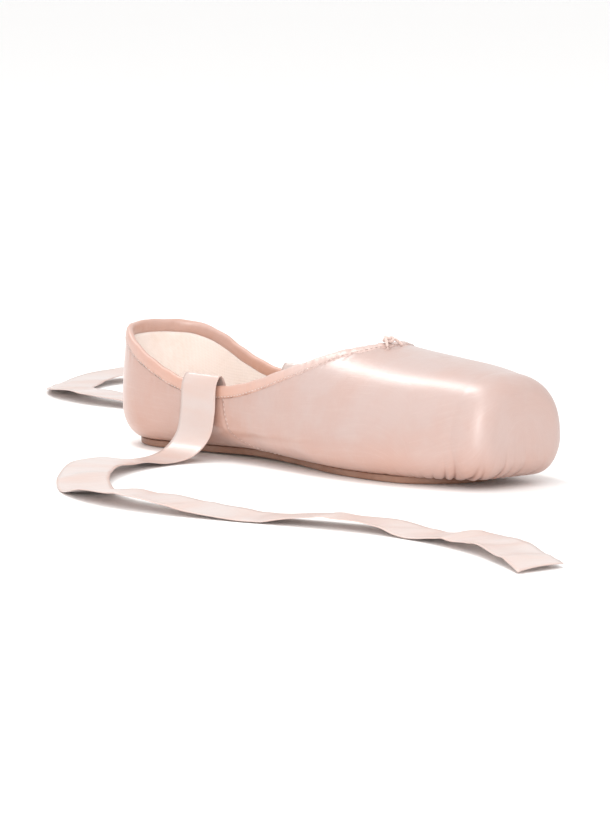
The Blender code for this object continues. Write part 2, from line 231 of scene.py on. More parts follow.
def place(name, data, material=None):
    piece = bpy.data.objects.new(name, data)
    bpy.context.scene.collection.objects.link(piece)
    if material:
        data.materials.append(material)
    return piece


def bake(piece):
    # the evaluated shape becomes a plain mesh, and the modifiers go
    bpy.context.view_layer.update()
    graph = bpy.context.evaluated_depsgraph_get()
    seen = piece.evaluated_get(graph)
    mesh = bpy.data.meshes.new_from_object(seen, preserve_all_data_layers=True, depsgraph=graph)
    if piece.type == "MESH":
        piece.modifiers.clear()
        piece.data = mesh
        return piece
    name = piece.name
    bpy.data.objects.remove(piece)
    return place(name, mesh)


def closeSeams(mesh, distance=0.000002, outward=False):
    # joins points that meet, turns the faces outwards if asked, and shades the mesh smooth
    shape = bmesh.new()
    shape.from_mesh(mesh)
    bmesh.ops.remove_doubles(shape, verts=shape.verts, dist=distance)
    bmesh.ops.dissolve_degenerate(shape, edges=shape.edges, dist=distance / 2)
    if outward:
        bmesh.ops.recalc_face_normals(shape, faces=shape.faces)
    shape.to_mesh(mesh)
    shape.free()
    mesh.shade_smooth()


def keep(mesh, name, values):
    layer = mesh.attributes.new(name, "FLOAT", "POINT")
    layer.data.foreach_set("value", np.asarray(values, np.float32).ravel())


def keepUv(mesh, across, along):
    layer = mesh.uv_layers.new(name="cloth")
    spots = np.empty(len(mesh.loops), np.int32)
    mesh.loops.foreach_get("vertex_index", spots)
    pairs = np.stack([np.ravel(across)[spots], np.ravel(along)[spots]], -1)
    layer.data.foreach_set("uv", pairs.astype(np.float32).ravel())


def addNode(tree, kind, settings=None, values=None):
    made = tree.nodes.new(kind)
    for name, value in (settings or {}).items():
        setattr(made, name, value)
    for name, value in (values or {}).items():
        join(tree, value, made.inputs[name])
    return made


def join(tree, value, socket):
    # an output is linked, a color gets its alpha, and anything else is set as it is
    if isinstance(value, bpy.types.NodeSocket):
        tree.links.new(value, socket)
    elif isinstance(value, tuple) and socket.type == "RGBA":
        socket.default_value = (*value, 1)
    else:
        socket.default_value = value


class Wire:
    # a node's output, with arithmetic that adds Math nodes

    def __init__(self, board, socket):
        self.board, self.socket = board, socket

    def math(self, operation, *others):
        return self.board.node("ShaderNodeMath", {"operation": operation}, dict(enumerate((self, *others))))

    def __add__(self, other):
        return self.math("ADD", other)

    def __sub__(self, other):
        return self.math("SUBTRACT", other)

    def __rsub__(self, other):
        return self.board.node("ShaderNodeMath", {"operation": "SUBTRACT"}, {0: other, 1: self})

    def __mul__(self, other):
        return self.math("MULTIPLY", other)

    def __truediv__(self, other):
        return self.math("DIVIDE", other)

    __radd__ = __add__
    __rmul__ = __mul__

    def most(self, other):
        return self.math("MAXIMUM", other)

    def rises(self, low, high):
        # 0 below low, 1 above high, soft between; falls when low is over high
        return self.board.node(
            "ShaderNodeMapRange",
            {"interpolation_type": "SMOOTHSTEP"},
            {"Value": self, "From Min": low, "From Max": high, "To Min": 0.0, "To Max": 1.0},
        )


class Board:
    # a material with its Principled shader, whose nodes come from one method

    def __init__(self, name, fixed):
        self.material = bpy.data.materials.new(name)
        self.material.use_nodes = True
        self.tree = self.material.node_tree
        self.shader = self.tree.nodes["Principled BSDF"]
        for socket, value in fixed.items():
            self.shader.inputs[socket].default_value = value
        self.objectPlace = self.node("ShaderNodeTexCoord", output="Object")

    def node(self, kind, settings=None, values=None, output=0):
        plain = {name: getattr(value, "socket", value) for name, value in (values or {}).items()}
        return Wire(self, addNode(self.tree, kind, settings, plain).outputs[output])

    def uv(self):
        return self.node("ShaderNodeUVMap", {"uv_map": "cloth"})

    def attribute(self, name):
        return self.node("ShaderNodeAttribute", {"attribute_name": name}, output="Fac")

    def part(self, vector, axis):
        return self.node("ShaderNodeSeparateXYZ", {}, {0: vector}, output=axis)

    def scaled(self, vector, x, y, z):
        return self.node("ShaderNodeMapping", {}, {"Vector": vector, "Scale": (x, y, z)})

    def noise(self, vector, scale, detail=3.0, rough=0.55, twist=0.0):
        values = {"Vector": vector, "Scale": scale, "Detail": detail, "Roughness": rough}
        return self.node("ShaderNodeTexNoise", {}, {**values, "Distortion": twist})

    def bands(self, way, vector, scale, twist=0.0):
        values = {"Vector": vector, "Scale": scale, "Distortion": twist}
        return self.node("ShaderNodeTexWave", {"bands_direction": way}, values)

    def blend(self, share, first, second):
        values = {0: share, 6: first, 7: second}
        return self.node("ShaderNodeMix", {"data_type": "RGBA"}, values, output=2)

    def bump(self, height, distance, strength=1.0, under=None):
        values = {"Height": height, "Distance": distance, "Strength": strength}
        if under is not None:
            values["Normal"] = under
        return self.node("ShaderNodeBump", {}, values)

    def finish(self, **sockets):
        names = {"color": "Base Color", "rough": "Roughness", "normal": "Normal", "coat": "Coat Weight"}
        for name, value in sockets.items():
            join(self.tree, getattr(value, "socket", value), self.shader.inputs[names[name]])
        return self.material


# How far along the shoe the worn platform and the quarter's warmer painted shade begin and are full,
# and how near the sole's edge the satin turns darker and warmer.
platformTint = (0.1085, 0.1165)
quarterShadeAt = (0.030, -0.055)
nearSoleAt = (0.008, -0.001)
# The deep colour is also painted shade, warm like bounce light, low on the side; the quarter colour is
# painted shade toward the heel; the crease colour is painted shade in the pleats and gathers, and the colour
# of the side seam's darker line.
satinCloth = {
    "light": (0.462, 0.338, 0.308),
    "deep": (0.450, 0.212, 0.140),
    "quarter": (0.450, 0.210, 0.138),
    "shine": (0.660, 0.540, 0.500),
    "dust": (0.445, 0.310, 0.275),
    "creaseShadeAndSeam": (0.240, 0.090, 0.055),
    "nearSole": (0.540, 0.270, 0.175),
    "roughness": 0.30,
}


def satinFinish(name, cloth, shadeHeight):
    # the last argument gives the heights where the painted shade low down, warm like bounce light, begins
    # and is full
    sheen = {"Sheen Weight": 0.08, "Sheen Roughness": 0.4}
    paint = Board(name, {"Specular IOR Level": 0.85, "Coat Roughness": 0.25, **sheen})
    uv = paint.uv()
    where = paint.objectPlace
    x = paint.part(where, "X")
    creaseShadeAndSeam = paint.attribute("creaseShadeAndSeam")
    toe = x.rises(*platformTint)
    cloudy = paint.noise(where, 38.0, 4.0, 0.6)
    patchy = paint.noise(where, 110.0, 5.0, 0.65)
    threads = paint.noise(paint.scaled(uv, 2200.0, 90.0, 1.0), 1.0, 2.0, 0.5)
    slubs = paint.noise(paint.scaled(uv, 700.0, 60.0, 1.0), 1.0, 3.0, 0.6)
    # painted shade: the quarter turns warmer and darker toward the heel
    quarterShade = x.rises(*quarterShadeAt) * (0.24 + 0.42 * cloudy)
    # painted shade: low down the side turns to the deep tone, warm like bounce light
    low = paint.part(where, "Z").rises(*shadeHeight) * (0.35 + 0.5 * cloudy)
    # the satin turns darker and warmer near the sole's edge
    nearSoleTone = paint.attribute("edgeNear").rises(*nearSoleAt) * (0.25 + 0.7 * patchy) * 0.7
    dusty = toe * 0.30 + toe * patchy.rises(0.50, 0.72) * 0.25
    glints = slubs.rises(0.48, 0.78) * 0.07 + threads.rises(0.5, 0.8) * 0.05
    color = paint.blend(cloudy.rises(0.38, 0.66) * 0.22, cloth["light"], cloth["deep"])
    color = paint.blend(quarterShade, color, cloth["quarter"])
    color = paint.blend(low, color, cloth["deep"])
    color = paint.blend(nearSoleTone, color, cloth["nearSole"])
    color = paint.blend(dusty, color, cloth["dust"])
    color = paint.blend(glints, color, cloth["shine"])
    # painted shade: the crease colour darkens the pleats' troughs and the casing's gathers, and draws a
    # darker line along the side seam
    color = paint.blend(creaseShadeAndSeam.rises(0.12, 0.75) * 0.9, color, cloth["creaseShadeAndSeam"])
    rough = cloth["roughness"] + 0.06 * cloudy + toe * 0.10 + creaseShadeAndSeam * 0.2
    soft = paint.bump(paint.noise(where, 48.0, 2.0, 0.45), 0.0012, 0.22)
    crinkle = paint.noise(paint.scaled(uv, 170.0, 330.0, 1.0), 1.0, 4.0, 0.62, 0.8)
    fine = paint.bump(crinkle, 0.00022, 0.5, soft)
    weave = paint.bump(threads + 0.6 * slubs, 0.00005, 0.8, fine)
    fray = paint.bump(patchy, 0.0002, 0.5, weave)
    return paint.finish(color=color, rough=rough, normal=fray, coat=0.40 - 0.25 * toe - 0.1 * patchy)


liningCloth = {"light": (0.87, 0.78, 0.73), "stain": (0.77, 0.64, 0.56), "weave": (0.60, 0.47, 0.38)}


def liningFinish():
    paint = Board("Lining canvas", {"Roughness": 0.9, "Specular IOR Level": 0.25, "Sheen Weight": 0.2})
    uv = paint.uv()
    warp, weft = (paint.bands(way, uv, 260.0, 0.6) for way in "XY")
    spots = paint.noise(paint.objectPlace, 55.0, 5.0, 0.65)
    color = paint.blend(spots.rises(0.45, 0.75) * 0.6, liningCloth["light"], liningCloth["stain"])
    color = paint.blend(warp * weft * 0.10, color, liningCloth["weave"])
    return paint.finish(color=color, normal=paint.bump(warp + weft, 0.00008, 0.6))


soleHide = {
    "light": (0.740, 0.550, 0.440),
    "dark": (0.660, 0.450, 0.330),
    "burntAndShade": (0.240, 0.108, 0.066),
    "print": (0.330, 0.150, 0.080),
    "scratch": (0.450, 0.310, 0.220),
    "scale": 0.0072,
    "patternBack": 0.018,
    "patternFront": 0.086,
    "patternFade": 0.003,
    "patternInset": (0.0022, 0.0042),
    "burnishAndShade": (0.0013, 0.0006),
}


def soleFinish():
    # natural leather: smooth heel, a forefoot pressed with rows of overlapping scales
    paint = Board("Sole leather", {"Specular IOR Level": 0.35, "Coat Roughness": 0.5})
    where = paint.objectPlace
    x, y = (paint.part(where, axis) for axis in "XY")
    edge = paint.attribute("edgeNear")
    grain = paint.noise(where, 900.0, 4.0, 0.6)
    fibers = paint.noise(paint.scaled(where, 160.0, 900.0, 400.0), 1.0, 4.0, 0.6)
    stains = paint.noise(where, 48.0, 5.0, 0.65)
    size = soleHide["scale"]
    waver = paint.noise(where, 90.0, 2.0, 0.5) - 0.5
    lines = None
    for shift in (0.0, 0.5):
        cellX, cellY = ((way / size + waver * 0.12 + shift).math("FRACT") - 0.5 for way in (x, y))
        distance = (cellX * cellX + cellY * cellY).math("SQRT")
        arc = (distance - 0.44).math("ABSOLUTE").rises(0.060, 0.015) * cellX.rises(-0.06, 0.03)
        stroke = cellY.math("ABSOLUTE").rises(0.055, 0.012)
        stroke = stroke * cellX.rises(-0.30, -0.26) * cellX.rises(0.02, -0.02)
        both = arc.most(stroke)
        lines = both if lines is None else lines.most(both)
    rows = x.rises(soleHide["patternBack"], soleHide["patternBack"] + soleHide["patternFade"])
    rows = rows * x.rises(soleHide["patternFront"], soleHide["patternFront"] - soleHide["patternFade"])
    rubbed = stains.rises(0.36, 0.50)
    pressed = lines * rows * edge.rises(*soleHide["patternInset"]) * rubbed
    color = paint.blend(stains.rises(0.4, 0.75) * 0.7, soleHide["light"], soleHide["dark"])
    color = paint.blend(fibers.rises(0.5, 0.8) * 0.3, color, soleHide["dark"])
    color = paint.blend(pressed * 0.75, color, soleHide["print"])
    # the burnished edge is darkened past its own colour into painted shade, standing for the shadow line
    # under the shoe
    burnishAndShade = edge.rises(*soleHide["burnishAndShade"])
    color = paint.blend(burnishAndShade * (0.70 + 0.4 * stains), color, soleHide["burntAndShade"])
    scratch = paint.noise(paint.scaled(where, 900.0, 70.0, 70.0), 1.0, 3.0, 0.7).rises(0.62, 0.74)
    color = paint.blend(scratch * 0.22, color, soleHide["scratch"])
    rough = 0.62 + 0.2 * stains - 0.18 * burnishAndShade
    base = paint.bump(grain + 0.8 * fibers, 0.00010, 0.8)
    normal = paint.bump(1 - pressed, 0.00045, 0.9, base)
    return paint.finish(color=color, rough=rough, normal=normal, coat=burnishAndShade * 0.3)


sock = {"light": (0.72, 0.62, 0.52), "worn": (0.50, 0.37, 0.27), "heelAt": 0.088, "ballAt": 0.045}


def sockFinish():
    paint = Board("Insole cloth", {"Specular IOR Level": 0.25, "Sheen Weight": 0.15})
    where = paint.objectPlace
    x, y = (paint.part(where, axis) for axis in "XY")
    warp, weft = (paint.bands(way, where, 240.0, 0.8) for way in "XY")
    spots = paint.noise(where, 40.0, 5.0, 0.62)
    atHeel, atBall = x + sock["heelAt"], x - sock["ballAt"]
    heel = (atHeel * atHeel + y * y * 1.6).math("SQRT").rises(0.032, 0.010)
    ball = (atBall * atBall * 0.6 + y * y).math("SQRT").rises(0.034, 0.012)
    wear = heel.most(ball) * (0.4 + 0.8 * spots)
    color = paint.blend(wear * 0.75, sock["light"], sock["worn"])
    return paint.finish(color=color, rough=0.88 - 0.25 * wear, normal=paint.bump(warp + weft, 0.00015, 0.7))


cord = {"color": (0.80, 0.61, 0.55), "thread": (0.80, 0.64, 0.58)}


def threadFinish(name, color, pitch):
    paint = Board(name, {"Roughness": 0.6, "Specular IOR Level": 0.4, "Sheen Weight": 0.3})
    twist = paint.bands("DIAGONAL", paint.objectPlace, pitch)
    fuzz = paint.noise(paint.objectPlace, 1800.0, 2.0, 0.6)
    shade = paint.blend(twist * 0.35, color, tuple(0.72 * c for c in color))
    return paint.finish(color=shade, normal=paint.bump(twist + 0.4 * fuzz, 0.0002, 0.8))


# The deep colour is painted shade, laid along the ribbon's folds.
ribbonCloth = {
    "light": (0.555, 0.452, 0.420),
    "deep": (0.565, 0.375, 0.310),
    "edge": (0.600, 0.410, 0.350),
    "selvage": (0.0099, 0.0104),
}


def ribbonFinish():
    sheen = {"Sheen Weight": 0.1, "Sheen Roughness": 0.35}
    paint = Board("Ribbon satin", {"Specular IOR Level": 0.8, "Coat Roughness": 0.2, **sheen})
    uv = paint.uv()
    selvage = paint.part(uv, "X").math("ABSOLUTE").rises(*ribbonCloth["selvage"])
    threads = paint.noise(paint.scaled(uv, 2600.0, 70.0, 1.0), 1.0, 2.0, 0.5)
    ribs = paint.bands("Y", uv, 380.0, 0.4)
    folds = paint.noise(paint.scaled(uv, 18.0, 60.0, 1.0), 1.0, 3.0, 0.5)
    crush = paint.noise(paint.objectPlace, 130.0, 4.0, 0.6)
    # painted shade: the deeper peach tone follows the folds
    color = paint.blend(folds.rises(0.38, 0.66) * 0.55, ribbonCloth["light"], ribbonCloth["deep"])
    color = paint.blend(selvage * 0.30, color, ribbonCloth["edge"])
    soft = paint.bump(folds + 0.3 * crush, 0.0016, 0.6)
    fine = paint.bump(threads + ribs * selvage * 2, 0.00005, 0.8, soft)
    rough = 0.30 + 0.10 * crush + 0.15 * selvage
    return paint.finish(color=color, rough=rough, normal=fine, coat=0.6 - 0.3 * selvage)


photoView = {
    "azimuth": 48.0,
    "elevation": 6.5,
    "distance": 3.0,
    "aside": -0.010,
    "height": 0.024,
    "pixelsPerMeter": 2350,
    "pixelsHigh": 813,
    "sensor": 36,
}


def makeCamera():
    a, e = math.radians(photoView["azimuth"]), math.radians(photoView["elevation"])
    back = Vector((math.sin(a) * math.cos(e), -math.cos(a) * math.cos(e), math.sin(e)))
    right = Vector((math.cos(a), math.sin(a), 0))
    aim = right * photoView["aside"] + Vector((0, 0, photoView["height"]))
    lens = bpy.data.cameras.new("PhotoCamera")
    lens.sensor_width = photoView["sensor"]
    perPixel = photoView["distance"] / photoView["pixelsHigh"]
    lens.lens = photoView["sensor"] * photoView["pixelsPerMeter"] * perPixel
    lens.clip_end = 60
    camera = place("PhotoCamera", lens)
    camera.location = aim + back * photoView["distance"]
    camera.rotation_mode = "QUATERNION"
    camera.rotation_quaternion = (-back).to_track_quat("-Z", "Y")
    bpy.context.scene.camera = camera


studio = {
    "floor": (0.97, 0.967, 0.965),
    "floorReach": 12.0,
    "floorDrop": 0.0002,
    "lampColor": (1.0, 0.988, 0.975),
    "world": (1.0, 0.995, 0.99),
    "worldStrength": 1.0,
    "lamps": (
        # name, place, direction of the long side, long side, short side, watts
        ("longKey", (-0.75, -0.11, 1.40), (0.38, -0.13, 0.21), 1.30, 0.22, 8.5),
        ("cornerStrip", (0.475, -0.675, 1.33), (1.35, -0.75, -0.75), 1.70, 0.16, 4.5),
        ("frontStrip", (1.15, -1.05, 0.48), (0.0, 0.0, 1.0), 0.95, 0.22, 12.0),
        ("backRim", (0.2, 1.5, 1.1), (1.0, 0.0, 0.0), 0.90, 0.90, 0.5),
    ),
}


def makeStudio():
    corners = [(x, y, -studio["floorDrop"]) for x, y in ((-1, -1), (1, -1), (1, 1), (-1, 1))]
    corners = np.array(corners) * [studio["floorReach"], studio["floorReach"], 1]
    mesh = toMesh("floor", corners, [(0, 1, 2, 3)])
    paint = Board("Studio floor", {"Roughness": 0.6, "Specular IOR Level": 0.2})
    paper = paint.noise(paint.objectPlace, 3.0, 2.0, 0.5)
    paint.finish(color=paint.blend(paper * 0.1, studio["floor"], tuple(0.97 * c for c in studio["floor"])))
    place("floor", mesh, paint.material)
    world = bpy.data.worlds.new("studio")
    world.use_nodes = True
    sky = world.node_tree.nodes["Background"]
    sky.inputs["Color"].default_value = (*studio["world"], 1)
    sky.inputs["Strength"].default_value = studio["worldStrength"]
    bpy.context.scene.world = world
    for name, spot, run, long, short, watts in studio["lamps"]:
        lamp = bpy.data.lights.new(name, "AREA")
        lamp.shape = "RECTANGLE"
        lamp.size, lamp.size_y = long, short
        lamp.energy = watts
        lamp.color = studio["lampColor"]
        back = Vector(spot).normalized()
        side = Vector(run)
        side = (side - back * side.dot(back)).normalized()
        holder = place(name, lamp)
        holder.location = spot
        holder.rotation_mode = "QUATERNION"
        holder.rotation_quaternion = Matrix((side, back.cross(side), back)).transposed().to_quaternion()
    bpy.context.scene.view_settings.view_transform = "Standard"


# How each ribbon lies: along from the heel's center, out from the middle plane, up from the
# floor, and the strip's turn in degrees. Both are sewn in alike.
sewnEnd = (
    (0.042, 0.0256, 0.0150, 0),
    (0.042, 0.0260, 0.0220, 0),
    (0.042, 0.0256, 0.0315, 0),
    (0.042, 0.0284, 0.0360, 0),
    (0.042, 0.0313, 0.0315, 0),
    (0.042, 0.0322, 0.0200, 0),
    (0.042, 0.0350, 0.0100, 0),
    (0.042, 0.0440, 0.0030, 0),
    (0.042, 0.0580, 0.0010, 0),
)
ribbon = {
    "width": 0.022,
    "thickness": 0.00028,
    "stations": 260,
    "across": 12,
    "near": sewnEnd
    + (
        (0.046, 0.0780, 0.0034, -10),
        (0.056, 0.1000, 0.0046, -22),
        (0.073, 0.1220, 0.0030, -36),
        (0.096, 0.1400, 0.0010, -50),
        (0.122, 0.1520, 0.0040, -66),
        (0.150, 0.1560, 0.0052, -82),
        (0.178, 0.1540, 0.0034, -98),
        (0.206, 0.1480, 0.0010, -104),
        (0.234, 0.1400, 0.0030, -104),
        (0.262, 0.1340, 0.0040, -94),
        (0.290, 0.1330, 0.0010, -87),
        (0.319, 0.1370, 0.0030, -78),
        (0.347, 0.1455, 0.0044, -70),
        (0.374, 0.1575, 0.0030, -65),
        (0.400, 0.1705, 0.0010, -64),
    ),
    "far": sewnEnd
    + (
        (0.040, 0.0760, 0.0034, 18),
        (0.032, 0.0930, 0.0044, 38),
        (0.018, 0.1060, 0.0030, 58),
        (0.000, 0.1140, 0.0010, 78),
        (-0.026, 0.1150, 0.0040, 98),
        (-0.051, 0.1070, 0.0052, 112),
        (-0.075, 0.0950, 0.0034, 116),
        (-0.099, 0.0840, 0.0010, 110),
        (-0.125, 0.0770, 0.0034, 98),
        (-0.152, 0.0760, 0.0046, 84),
        (-0.178, 0.0835, 0.0030, 62),
        (-0.199, 0.1015, 0.0010, 38),
        (-0.211, 0.1270, 0.0030, 10),
        (-0.209, 0.1550, 0.0044, -18),
        (-0.193, 0.1780, 0.0030, -50),
        (-0.168, 0.1895, 0.0010, -76),
        (-0.143, 0.1915, 0.0010, -86),
    ),
    # the free strip starts and is fully free this far along, and its waves are height, pace
    # along it and phase
    "free": (0.075, 0.110),
    "bow": (0.0005, 70, 1.3),
    "tilt": (0.0006, 52, 0.7),
    "curl": (0.0003, 160, 0.0),
    "slantedEnd": (0.020, 0.012),
    "lowest": 0.00035,
    "crushWidth": 0.0036,
    "crushSlant": 0.008,
    # crushed places where it was knotted: share of the length, slant, height in metres
    "crushes": (
        (0.30, 0.5, 0.0010),
        (0.37, -0.8, -0.0007),
        (0.46, 0.3, 0.0013),
        (0.53, -0.4, 0.0009),
        (0.60, 0.9, -0.0008),
        (0.67, 0.2, 0.0014),
        (0.75, -0.6, 0.0010),
        (0.82, 0.4, 0.0013),
        (0.88, -0.3, -0.0007),
        (0.95, 0.5, 0.0011),
    ),
}


def makeRibbon(name, rows, side, node, finish):
    rows = np.array(rows, float)
    spots = np.linspace(0, 1, len(rows))
    share = np.linspace(0, 1, ribbon["stations"])
    along, out, up, heading = (smooth(spots, rows[:, k], share) for k in range(4))
    middle = np.stack([heelCenter + along, side * out, up], -1)
    turn = np.radians(heading)
    wide = np.stack([np.cos(turn), side * np.sin(turn), 0 * turn], -1)
    run = unit(np.gradient(middle, axis=0))
    wide = unit(wide - run * (wide * run).sum(1, keepdims=True))
    face = np.cross(run, wide) * -side
    lengths = lengthsAlong(middle)
    total = lengths[-1]
    a = np.linspace(-1, 1, ribbon["across"] + 1)[None, :]
    s = lengths[:, None]
    free = fade(s, *ribbon["free"])
    slantLength, slantDepth = ribbon["slantedEnd"]
    ending = fade(s, total - slantLength, total)
    lift = 0
    forms = ((1 - a**2, ribbon["bow"]), (a, ribbon["tilt"]), (a**2, ribbon["curl"]))
    for form, (height, pace, phase) in forms:
        lift = lift + height * form * free * np.sin(s * pace + phase * side)
    for spot, slant, height in ribbon["crushes"]:
        ridge = bell(s - spot * total + slant * a * ribbon["crushSlant"], ribbon["crushWidth"])
        lift = lift + height * free * (1 - 0.6 * a**2) * ridge
    # the waves stand upwards where the strip lies down, whichever face is up
    upward = face * np.where(face[:, 2:3] < -0.2, -1, 1)
    aside = a * ribbon["width"] / 2
    points = middle[:, None] + wide[:, None] * aside[..., None]
    points = points + upward[:, None] * lift[..., None]
    points = points - run[:, None] * (ending * (a + 1) / 2 * slantDepth)[..., None]
    points[..., 2] = np.maximum(points[..., 2], ribbon["lowest"])
    shape = points.shape[:2]
    mesh = toMesh(name, points, gridFaces(*shape, flip=side > 0))
    mesh.shade_smooth()
    keepUv(mesh, np.broadcast_to(aside, shape), np.broadcast_to(s, shape))
    piece = place(name, mesh, finish)
    cloth = piece.modifiers.new("Cloth", "SOLIDIFY")
    cloth.thickness = ribbon["thickness"]
    cloth.offset = 0
    bake(piece)
    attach(piece, "root")
    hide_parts(node)


# How finely the upper and its lining are cut: ribs from heel to toe, then steps up the side.
shellCuts = {"fan": 50, "mouth": 170, "box": 98, "around": 26, "cap": 12, "under": 26, "low": 32, "high": 42}
liningCuts = {"fan": 24, "mouth": 64, "box": 40, "around": 8, "cap": 6, "under": 6, "low": 10, "high": 18}
# What is seen of the upper: its platform and its folds.
upperLook = {
    "noseCenter": 0.069,
    "noseRadius": 0.025,
    "crowding": 1.25,
    "dome": 0.0005,
    "roundStart": 0.106,
    "edgeRound": 0.0088,
    "seamGroove": 0.00034,
    "pleatsFrom": (0.062, 0.072),
    "puckerLow": 0.00016,
    "puckerHigh": 0.00017,
    # a pleat's half width in mm at the sole and its growth per mm of reach, then the shares of
    # its depth by which the folds beside it rise and its trough sinks
    "pleatWidth": 0.38,
    "pleatGrowth": 0.010,
    "pleatFold": 0.14,
    "pleatTrough": 1.15,
    # pleats round the sole's nose: place along its edge from the middle in mm (near side
    # negative), depth in mm, reach in mm, and lean in mm
    "pleats": (
        (-46.0, 0.22, 7, -2.0),
        (-39.0, 0.28, 8, -2.0),
        (-33.0, 0.32, 10, -1.0),
        (-28.0, 0.38, 12, -1.5),
        (-24.0, 0.50, 14, -1.0),
        (-20.5, 0.55, 19, -1.0),
        (-17.0, 0.90, 26, -0.5),
        (-14.2, 0.90, 32, -0.9),
        (-11.6, 1.20, 37, 0.4),
        (-8.6, 1.05, 38, -0.5),
        (-5.9, 1.15, 38, 0.5),
        (-3.1, 0.85, 35, 0.2),
        (0.0, 0.95, 35, 0.3),
        (2.7, 0.75, 28, 0.0),
        (5.3, 1.05, 33, 0.3),
        (8.2, 0.80, 29, 0.3),
        (11.2, 1.05, 35, 0.0),
        (14.5, 0.85, 30, 0.6),
        (18.0, 0.90, 27, 0.4),
        (22.0, 0.65, 20, 1.0),
        (26.0, 0.75, 18, 0.8),
        (31.0, 0.50, 14, 1.2),
        (37.0, 0.55, 12, 1.8),
        (44.0, 0.35, 9, 2.0),
    ),
    # soft troughs: side, x and height of both ends, half width, depth, all in mm
    "troughs": (
        (-1, -72, 12, -60, 27, 5.0, 0.45),
        (-1, -40, 8, -52, 26, 4.0, 0.40),
        (-1, -30, 24, -10, 10, 5.0, 0.45),
        (-1, -12, 26, 12, 16, 5.5, 0.40),
        (-1, 2, 10, 24, 6, 4.0, 0.35),
        (-1, 12, 30, 40, 26, 7.0, 0.35),
        (-1, 30, 12, 62, 9, 4.5, 0.35),
        (-1, 66, 24, 104, 20, 8.0, 0.45),
        (-1, -46, 6, -42, 22, 2.2, 0.22),
        (-1, -38, 6, -27, 20, 2.0, 0.20),
        (-1, -24, 5, -16, 15, 1.8, 0.22),
        (-1, -8, 5, 6, 14, 2.2, 0.20),
        (-1, -66, 20, -50, 24, 2.0, 0.18),
        (1, -70, 28, -62, 12, 5.0, 0.45),
        (1, -44, 25, -38, 9, 4.0, 0.40),
        (1, -26, 22, -8, 8, 5.0, 0.45),
        (1, -6, 27, 18, 14, 6.0, 0.40),
        (1, 20, 8, 50, 8, 4.0, 0.35),
        (1, 26, 30, 52, 20, 7.0, 0.35),
        (1, 70, 22, 106, 20, 8.0, 0.40),
        (1, -48, 7, -40, 21, 2.2, 0.22),
        (1, -34, 6, -28, 19, 2.0, 0.20),
        (1, -20, 5, -10, 14, 1.8, 0.22),
        (1, -4, 5, 8, 13, 2.2, 0.20),
        (1, -68, 22, -54, 21, 2.0, 0.18),
    ),
}
# The side seam's run: place along the shoe by height above the floor. Its groove shows above a
# height, from past the heel's center to a place in front.
seamRun = {
    "height": (0.0033, 0.0050, 0.0080, 0.0126, 0.0180, 0.0260, 0.0400),
    "at": (0.009, -0.008, -0.020, -0.029, -0.0325, -0.035, -0.037),
    "above": 0.004,
    "from": heelCenter + 0.02,
    "to": 0.012,
}
slopeStep = 0.0005


def soleHalf(x, back, front, depth, edge):
    flat = sectionAt(np.maximum(x, heelCenter))["flat"] + edge
    heel = np.clip((heelCenter - x) / (heelCenter - back), 0, 1)
    nose = np.clip((x - front + depth) / depth, 0, 1)
    return flat * np.sqrt(1 - heel**2) * np.sqrt(1 - nose**2)


def solePlaces(back, front, depth, ends, body):
    angle = np.linspace(0, math.pi / 2, ends)
    start = heelCenter - (heelCenter - back) * np.cos(angle)
    finish = front - depth * (1 - np.sin(angle))
    return np.concatenate([start[:-1], np.linspace(heelCenter, front - depth, body)[:-1], finish])


soleEnds = (soleBack, soleFront, shoe["soleNose"])
outlineX = solePlaces(*soleEnds, 60, 120)
outline = np.stack([outlineX, soleHalf(outlineX, *soleEnds, shoe["soleEdge"])], -1)


def fromSole(points):
    # distance of surface points from the outsole's edge, negative over the sole
    plan = np.stack([points[:, 0], np.abs(points[:, 1])], -1)
    nearest = np.full(len(plan), 9.0)
    for spot in outline:
        nearest = np.minimum(nearest, ((plan - spot) ** 2).sum(1))
    half = soleHalf(np.clip(plan[:, 0], soleBack, soleFront), *soleEnds, shoe["soleEdge"])
    inside = (plan[:, 1] < half) & (plan[:, 0] > soleBack) & (plan[:, 0] < soleFront)
    over = points[:, 2] - upperBottom
    flat = np.sqrt(nearest)
    return np.where(inside, over - flat, np.hypot(flat, np.maximum(over, 0)))


def skinGrid(fan, mouth, box, around, cap, under, low, high):
    # rows of points on one side of the last, from the back seam to the middle of the platform
    reach = throat - heelCenter
    turn = np.linspace(0, math.pi / 2, fan, endpoint=False)
    body = throat - reach * (1 - np.arange(mouth) / mouth) ** upperLook["crowding"]
    start = upperLook["roundStart"]
    front = np.linspace(throat, start, box + 1)
    places = np.concatenate([np.full(fan, heelCenter), body, front])
    turns = np.concatenate([turn, np.full(mouth + box + 1, math.pi / 2)])
    ribs = Ribs(places, turns)
    columns = [ribs.under(i / under) for i in range(under)]
    columns += [ribs.low(i / low) for i in range(low)]
    columns += [ribs.high(i / high) for i in range(high + 1)]
    grid = np.stack(columns, 1)
    last = grid[-1]
    middle = np.array([start, 0, (last[0, 2] + last[-1, 2]) / 2])
    tall = last[-1, 2] - middle[2]
    rows = []
    for i in range(1, around + 1):
        angle = i / around * math.pi / 2
        share = 1 - upperLook["edgeRound"] * (1 - math.cos(angle)) / tall
        rows.append(middle + (last - middle) * share + [(toeEnd - start) * math.sin(angle), 0, 0])
    edge = rows[-1]
    center = np.array([toeEnd, 0, middle[2]])
    for i in range(1, cap + 1):
        share = 1 - i / cap
        crown = np.array([upperLook["dome"] * (1 - share**2), 0, 0])
        rows.append(center + (edge - center) * share + crown)
    grid = np.concatenate([grid, np.stack(rows)])
    grid[:, :, 1] = np.where(np.abs(grid[:, :, 1]) < 0.00002, 0, grid[:, :, 1])
    return grid


